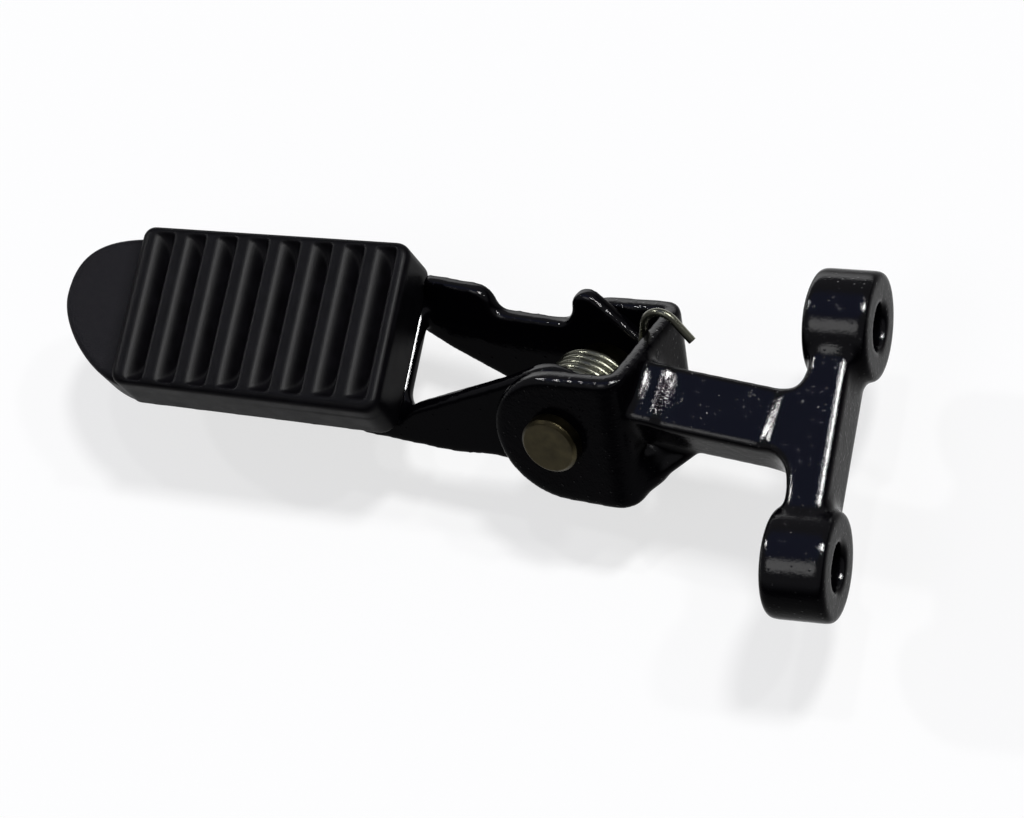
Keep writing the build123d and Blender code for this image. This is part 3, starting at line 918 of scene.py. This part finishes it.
class FOOTPEG_OT_torsion_spring(bpy.types.Operator):
    """Close-wound return spring with its hooked leg"""

    bl_idname = "footpeg.torsion_spring"
    bl_label = "Torsion spring"

    def execute(self, context):
        sizes = context.scene.footpeg_spring
        wire = zinc("plated_spring_wire", Vector(context.scene.footpeg_finish.wire), 0.22, 0.34)
        path = wire_curve("spring_wire", spring_path(sizes))
        spring = run_tree(path, wire_tree(), {"Radius": sizes.wire_d / 2, "Sides": 24, "Material": wire})
        smooth_shade(spring, 50)
        dress(spring, wire)
        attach(spring, "hanger")
        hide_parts("torsion_spring")
        return {"FINISHED"}


def ring_point(centre, radius, turn, height):
    return centre + Vector((radius * math.cos(turn), radius * math.sin(turn), height))


def turned_ring(name, profile, centre, segments=64):
    """A closed ring turned from (radius, height) points round an upright axis."""
    verts = []
    faces = []
    count = len(profile)
    for s in range(segments):
        turn = 2 * math.pi * s / segments
        for radius, height in profile:
            verts.append(ring_point(centre, radius, turn, height))
    for s in range(segments):
        t = (s + 1) % segments
        for i in range(count):
            j = (i + 1) % count
            faces.append((s * count + i, t * count + i, t * count + j, s * count + j))
    return mesh_object(name, verts, faces)


def hex_screw(name, centre, flats, head, shank_r, length):
    """A hexagon screw pointing up, its head's lower rim chamfered by a cone, with a rounded shank end."""
    levels = []
    across = flats / 2
    corner = across / math.cos(math.pi / 6)
    end_chamfer = 0.6 * MM
    sides = 48
    turns = [2 * math.pi * i / sides for i in range(sides)]

    def hex_radius(turn):
        fold_turn = (turn + math.pi / 6) % (math.pi / 3) - math.pi / 6
        return across / math.cos(fold_turn)

    for height, cap in ((0.0, across * 0.93), (0.35 * MM, across * 1.03), (0.75 * MM, corner), (head, corner)):
        levels.append([ring_point(centre, min(hex_radius(turn), cap), turn, height) for turn in turns])
    for radius, height in ((shank_r, head), (shank_r, length - end_chamfer), (shank_r - end_chamfer, length)):
        levels.append([ring_point(centre, radius, turn, height) for turn in turns])
    return layered_solid(name, levels)


class FOOTPEG_OT_pad_fixings(bpy.types.Operator):
    """Hexagon screws and plain washers under the tread plate"""

    bl_idname = "footpeg.pad_fixings"
    bl_label = "Pad fixings"

    def execute(self, context):
        finish = context.scene.footpeg_finish
        plating = zinc("olive_zinc_screws", Vector(finish.plating) * 3, 0.28, 0.42)
        low, high = (Vector(corner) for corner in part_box("pad_screws"))
        flats = high.y - low.y
        corner = flats / math.cos(math.pi / 6) / 2
        first = Vector((low.x + corner, (low.y + high.y) / 2, low.z))
        step = (high.x - low.x - 2 * corner, 0.0, 0.0)
        screw = hex_screw("pad_screw_set", first, flats, 4.0 * MM, 2.95 * MM, high.z - low.z)
        screws = run_tree(screw, row_tree(), {"Count": 2, "Step": step, "Material": plating})
        wash_low, wash_high = (Vector(corner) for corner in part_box("pad_washers"))
        outer = (wash_high.y - wash_low.y) / 2
        inner = 3.2 * MM
        thick = wash_high.z - wash_low.z
        soft = 0.2 * MM
        profile = (
            (inner, 0.0), (outer - soft, 0.0), (outer, soft), (outer, thick - soft), (outer - soft, thick),
            (inner, thick))
        seat = Vector((first.x, first.y, wash_low.z))
        washer = turned_ring("pad_washer_set", profile, seat)
        washers = run_tree(washer, row_tree(), {"Count": 2, "Step": step, "Material": plating})
        for piece, node in ((screws, "pad_screws"), (washers, "pad_washers")):
            smooth_shade(piece, 28)
            dress(piece, plating)
            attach(piece, "peg")
            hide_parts(node)
        return {"FINISHED"}


class FOOTPEG_OT_hanger_casting(bpy.types.Operator):
    """Painted hanger casting with moulded blends in its inner corners and a waist in its stem"""

    bl_idname = "footpeg.hanger_casting"
    bl_label = "Hanger casting"

    def execute(self, context):
        sizes = context.scene.footpeg_castings
        paint = cast_paint()
        shell = bmesh.new()
        shell.from_mesh(frame["nodes"]["bracket"].data)
        bmesh.ops.remove_doubles(shell, verts=shell.verts, dist=1e-6)
        mesh = bpy.data.meshes.new("hanger_casting")
        shell.to_mesh(mesh)
        shell.free()
        casting = new_object("hanger_casting", mesh)
        even_skin(casting, sizes.cell)
        web_back = 18.7 * MM
        stem_yaw = math.radians(7.25)
        stem_half_height = 8.5 * MM
        run_tree(casting, waist_tree(), {
            "Direction": (math.cos(stem_yaw), -math.sin(stem_yaw), 0.0), "Start": 18.6 * MM, "End": 47.2 * MM,
            "Shoulder": 1.8 * MM, "Depth Share": sizes.waist_depth / stem_half_height, "Material": paint})
        reach = 35 * MM
        fade = 2.4 * MM
        run_tree(casting, soften_tree(), {
            "Ease Steps": 5, "Fill Steps": sizes.blend_steps,
            "Fill Centre": pivot_point - peg_dir * (web_back - fade + reach),
            "Fill Direction": peg_dir.copy(), "Fill Reach": reach, "Fill Fade": fade, "Material": paint})
        dress(casting, paint)
        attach(casting, "hanger")
        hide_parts("bracket")
        return {"FINISHED"}


def on_pivot(point, offset):
    """Place of a point given outward and upward from the pivot, at an offset along the pin to the front ear."""
    return pivot_point + peg_dir * point.x + up_dir * point.y + pin_dir * offset


# Outlines as (outward, upward, corner radius) from the pivot for the two plates and as (x, y, corner radius)
# for the tread plate, in millimetres
REAR_PLATE = (
    (-14.2, -15.0, 3.6), (0.0, -15.0, 40.0), (13.5, -12.8, 40.0), (30.0, -6.4, 60.0), (46.0, 0.6, 60.0),
    (64.0, 12.0, 1.5), (60.0, 18.35, 1.5), (31.3, 17.6, 5.4), (29.4, 11.4, 2.4), (8.4, 11.8, 5.0),
    (8.4, 25.6, 3.9), (-14.2, 6.6, 13.6),
)
FRONT_PLATE = (
    (-14.2, -15.0, 3.6), (0.0, -15.0, 40.0), (12.0, -12.6, 30.0), (22.0, -11.7, 30.0), (30.0, -13.0, 20.0),
    (57.0, -12.0, 1.5), (60.0, -9.6, 1.5), (47.2, -6.6, 6.0), (41.5, -2.0, 14.0), (30.0, 3.3, 60.0),
    (14.4, 10.4, 40.0), (0.8, 18.0, 11.3), (-14.2, 5.5, 12.0),
)
TREAD_PLATE = (
    (109.0, -1.4, 0.5), (123.9, 0.8, 3.0), (182.0, -1.4, 10.0), (194.0, -10.0, 6.0), (194.0, -29.0, 6.0),
    (182.0, -37.2, 10.0), (123.9, -38.2, 3.0), (113.0, -32.0, 0.5), (115.9, -30.4, 1.8), (115.9, -4.4, 5.0),
    (106.0, -4.4, 0.5),
)


class FOOTPEG_OT_peg_frame(bpy.types.Operator):
    """Folding steel frame: two plates with rounded edges blended into the tread plate"""

    bl_idname = "footpeg.peg_frame"
    bl_label = "Peg frame"

    def execute(self, context):
        sizes = context.scene.footpeg_castings
        paint = plate_paint()
        plate_outside = 14.2 * MM
        steel = 4.0 * MM
        plates = []
        for name, corners, low in (
                ("rear_plate", REAR_PLATE, -plate_outside), ("front_plate", FRONT_PLATE, plate_outside - steel)):
            outline = rounded_outline(corners)
            plates.append(layered_solid(
                name, [[on_pivot(point, offset) for point in outline] for offset in (low, low + steel)]))
        pad_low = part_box("rubber_pad")[0]
        seat_z = pad_low[2]
        seat_x = pad_low[0] - 0.3 * MM
        frame_shell = joined("peg_frame_skin", plates)
        seat_length, seat_rear, seat_front, seat_height = 0.1, -0.06, 0.03, 0.03
        seat = (
            (seat_x, seat_rear), (seat_x + seat_length, seat_rear),
            (seat_x + seat_length, seat_front), (seat_x, seat_front))
        cut_away(frame_shell, upright_solid("seat", seat, seat_z, seat_z + seat_height), many_shells=True)
        tread = upright_solid("tread_plate", rounded_outline(TREAD_PLATE), seat_z - 4.5 * MM, seat_z - 0.02 * MM)
        frame_shell = joined("peg_frame_skin", [frame_shell, tread])
        even_skin(frame_shell, sizes.cell * 0.9)
        pin_bore_r = 5.15 * MM
        screw_bore_r = 3.3 * MM
        bore_reach = pin_dir * 0.03
        bores = [round_bar("pin_bore", pivot_point - bore_reach, pivot_point + bore_reach, pin_bore_r)]
        low, high = (Vector(corner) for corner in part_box("pad_screws"))
        head_corner = 5.77 * MM
        for x in (low.x + head_corner, high.x - head_corner):
            middle = (low.y + high.y) / 2
            ends = (Vector((x, middle, seat_z + reach)) for reach in (-0.01, 0.01))
            bores.append(round_bar("screw_bore", *ends, screw_bore_r))
        run_tree(frame_shell, soften_tree(), {
            "Ease Steps": 8, "Fill Steps": 50, "Fill Centre": (113.0 * MM, 0.0, 0.0),
            "Fill Direction": (1.0, 0.0, 0.0), "Fill Reach": 14.0 * MM, "Fill Fade": 6.0 * MM, "Material": paint})
        cut_away(frame_shell, joined("bores", bores), many_shells=True)
        smooth_shade(frame_shell, 40)
        dress(frame_shell, paint)
        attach(frame_shell, "peg")
        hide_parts("peg_frame")
        return {"FINISHED"}


class FOOTPEG_OT_plated_parts(bpy.types.Operator):
    """Plating on the pivot pin, washer, split pin, collar and the pad's inner plate"""

    bl_idname = "footpeg.plated_parts"
    bl_label = "Plated parts"

    def execute(self, context):
        olive = Vector(context.scene.footpeg_finish.plating)
        for name, nodes, level in (
                ("olive_zinc_pin", ("pivot_pin",), 1.0), ("olive_zinc_split_pin", ("split_pin", "pin_washer"), 3.0),
                ("dark_zinc", ("spring_collar",), 0.3), ("dull_zinc", ("pad_plate",), 3.0)):
            plating = zinc(name, olive * level, 0.30, 0.42)
            for node in nodes:
                dress(frame["nodes"][node], plating)
        return {"FINISHED"}


# Stage


# Lamps as (name, azimuth, elevation, irradiance, width), with the angles in degrees
LAMPS = (
    ("rear_softbox", -132, 62, 1.9, 8),
    ("inner_strip", -152, 49, 0.4, 3.5),
    ("outer_strip", -24, 42, 0.55, 3.5),
    ("high_strip", -92, 70, 0.3, 3),
    ("front_softbox", 50, 60, 0.2, 24),
)


def sun(name, azimuth, elevation, irradiance, width):
    """A far lamp that shines from an azimuth and elevation."""
    lamp = bpy.data.lights.new(name, "SUN")
    lamp.energy = irradiance
    lamp.angle = math.radians(width)
    az = math.radians(azimuth)
    el = math.radians(elevation)
    source = Vector((math.cos(el) * math.cos(az), math.cos(el) * math.sin(az), math.sin(el)))
    new_object(name, lamp).rotation_euler = source.to_track_quat("Z", "Y").to_euler()


def studio_world():
    """Even dim light with one broad cool patch overhead, which gloss paint mirrors on its flat tops."""
    world = bpy.data.worlds.new("studio_world")
    world.use_nodes = True
    make = TreeBuilder(world.node_tree)
    back = world.node_tree.nodes["Background"]
    place = make.add("ShaderNodeTexCoord")
    az, el = math.radians(-46), math.radians(64)
    patch = (math.cos(el) * math.cos(az), math.cos(el) * math.sin(az), math.sin(el))
    dim, cool = (0.13, 0.13, 0.14, 1.0), (0.13, 0.15, 0.27, 1.0)
    near = make.vector("DOT_PRODUCT", place.outputs["Generated"], patch)
    colour = make.add("ShaderNodeMix", {
        "Factor": make.share(near, 0.82, 0.97), 6: dim, 7: cool}, data_type="RGBA")
    make.link(colour.outputs[2], back.inputs["Color"])
    bpy.context.scene.world = world


def photo_camera():
    """The camera that matches the photograph, found from the bolt holes, the pin head and the pad."""
    lens_px, photo_width = 3746.0, 1024
    right = Vector((-0.9336, -0.1892, -0.3043))
    down = Vector((-0.0755, 0.9341, -0.3491))
    ahead = Vector((0.3503, -0.3029, -0.8863))
    eye = Vector((-0.2224, 0.2634, 0.7771))
    camera = bpy.data.cameras.new("photo_camera")
    camera.sensor_width = 36.0
    camera.lens = lens_px / photo_width * camera.sensor_width
    camera.clip_start = 0.01
    camera.clip_end = 200.0
    holder = new_object("photo_camera", camera)
    turn = Matrix((right, -down, -ahead)).transposed().to_quaternion().to_matrix().to_4x4()
    holder.matrix_world = Matrix.Translation(eye) @ turn
    bpy.context.scene.camera = holder


class FOOTPEG_OT_stage(bpy.types.Operator):
    """Pale floor, soft lamps, world and the camera at the photograph's view"""

    bl_idname = "footpeg.stage"
    bl_label = "Stage"

    def execute(self, context):
        studio = context.scene.footpeg_studio
        half = studio.floor_size / 2
        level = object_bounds()[0][2] - studio.floor_drop
        corners = [Vector((x, y, level)) for x, y in ((-half, -half), (half, -half), (half, half), (-half, half))]
        mesh = bpy.data.meshes.new("floor")
        mesh.from_pydata([tuple(corner) for corner in corners], [], [(0, 1, 2, 3)])
        floor = new_object("floor", mesh)
        dress(floor, pale_floor())
        floor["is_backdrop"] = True
        for lamp in LAMPS:
            sun(*lamp)
        studio_world()
        photo_camera()
        context.scene.view_settings.view_transform = "Standard"
        return {"FINISHED"}


class FOOTPEG_PT_panel(bpy.types.Panel):
    """Lists the part's pieces and sizes in the sidebar"""

    bl_label = "Footpeg"
    bl_idname = "FOOTPEG_PT_panel"
    bl_space_type = "VIEW_3D"
    bl_region_type = "UI"
    bl_category = "Footpeg"

    def draw(self, context):
        for operator in OPERATORS:
            self.layout.operator(operator.bl_idname)
        for name in SETTINGS:
            box = self.layout.box()
            settings = getattr(context.scene, name)
            for prop in settings.bl_rna.properties:
                if prop.identifier not in ("name", "rna_type"):
                    box.prop(settings, prop.identifier)


SETTINGS = {
    "footpeg_pad": FootpegPadSizes,
    "footpeg_spring": FootpegSpringSizes,
    "footpeg_castings": FootpegCastingSizes,
    "footpeg_finish": FootpegFinish,
    "footpeg_studio": FootpegStudio,
}
OPERATORS = (
    FOOTPEG_OT_hanger_casting,
    FOOTPEG_OT_peg_frame,
    FOOTPEG_OT_plated_parts,
    FOOTPEG_OT_rubber_pad,
    FOOTPEG_OT_torsion_spring,
    FOOTPEG_OT_pad_fixings,
    FOOTPEG_OT_stage,
)
KINDS = (*SETTINGS.values(), *OPERATORS, FOOTPEG_PT_panel)


def register():
    for kind in KINDS:
        bpy.utils.register_class(kind)
    for name, kind in SETTINGS.items():
        setattr(bpy.types.Scene, name, bpy.props.PointerProperty(type=kind))


def unregister():
    for name in SETTINGS:
        delattr(bpy.types.Scene, name)
    for kind in reversed(KINDS):
        bpy.utils.unregister_class(kind)


def main():
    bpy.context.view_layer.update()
    register()
    bpy.ops.footpeg.hanger_casting()
    bpy.ops.footpeg.peg_frame()
    bpy.ops.footpeg.plated_parts()
    bpy.ops.footpeg.rubber_pad()
    bpy.ops.footpeg.torsion_spring()
    bpy.ops.footpeg.pad_fixings()
    bpy.ops.footpeg.stage()


if __name__ == "__main__":
    main()
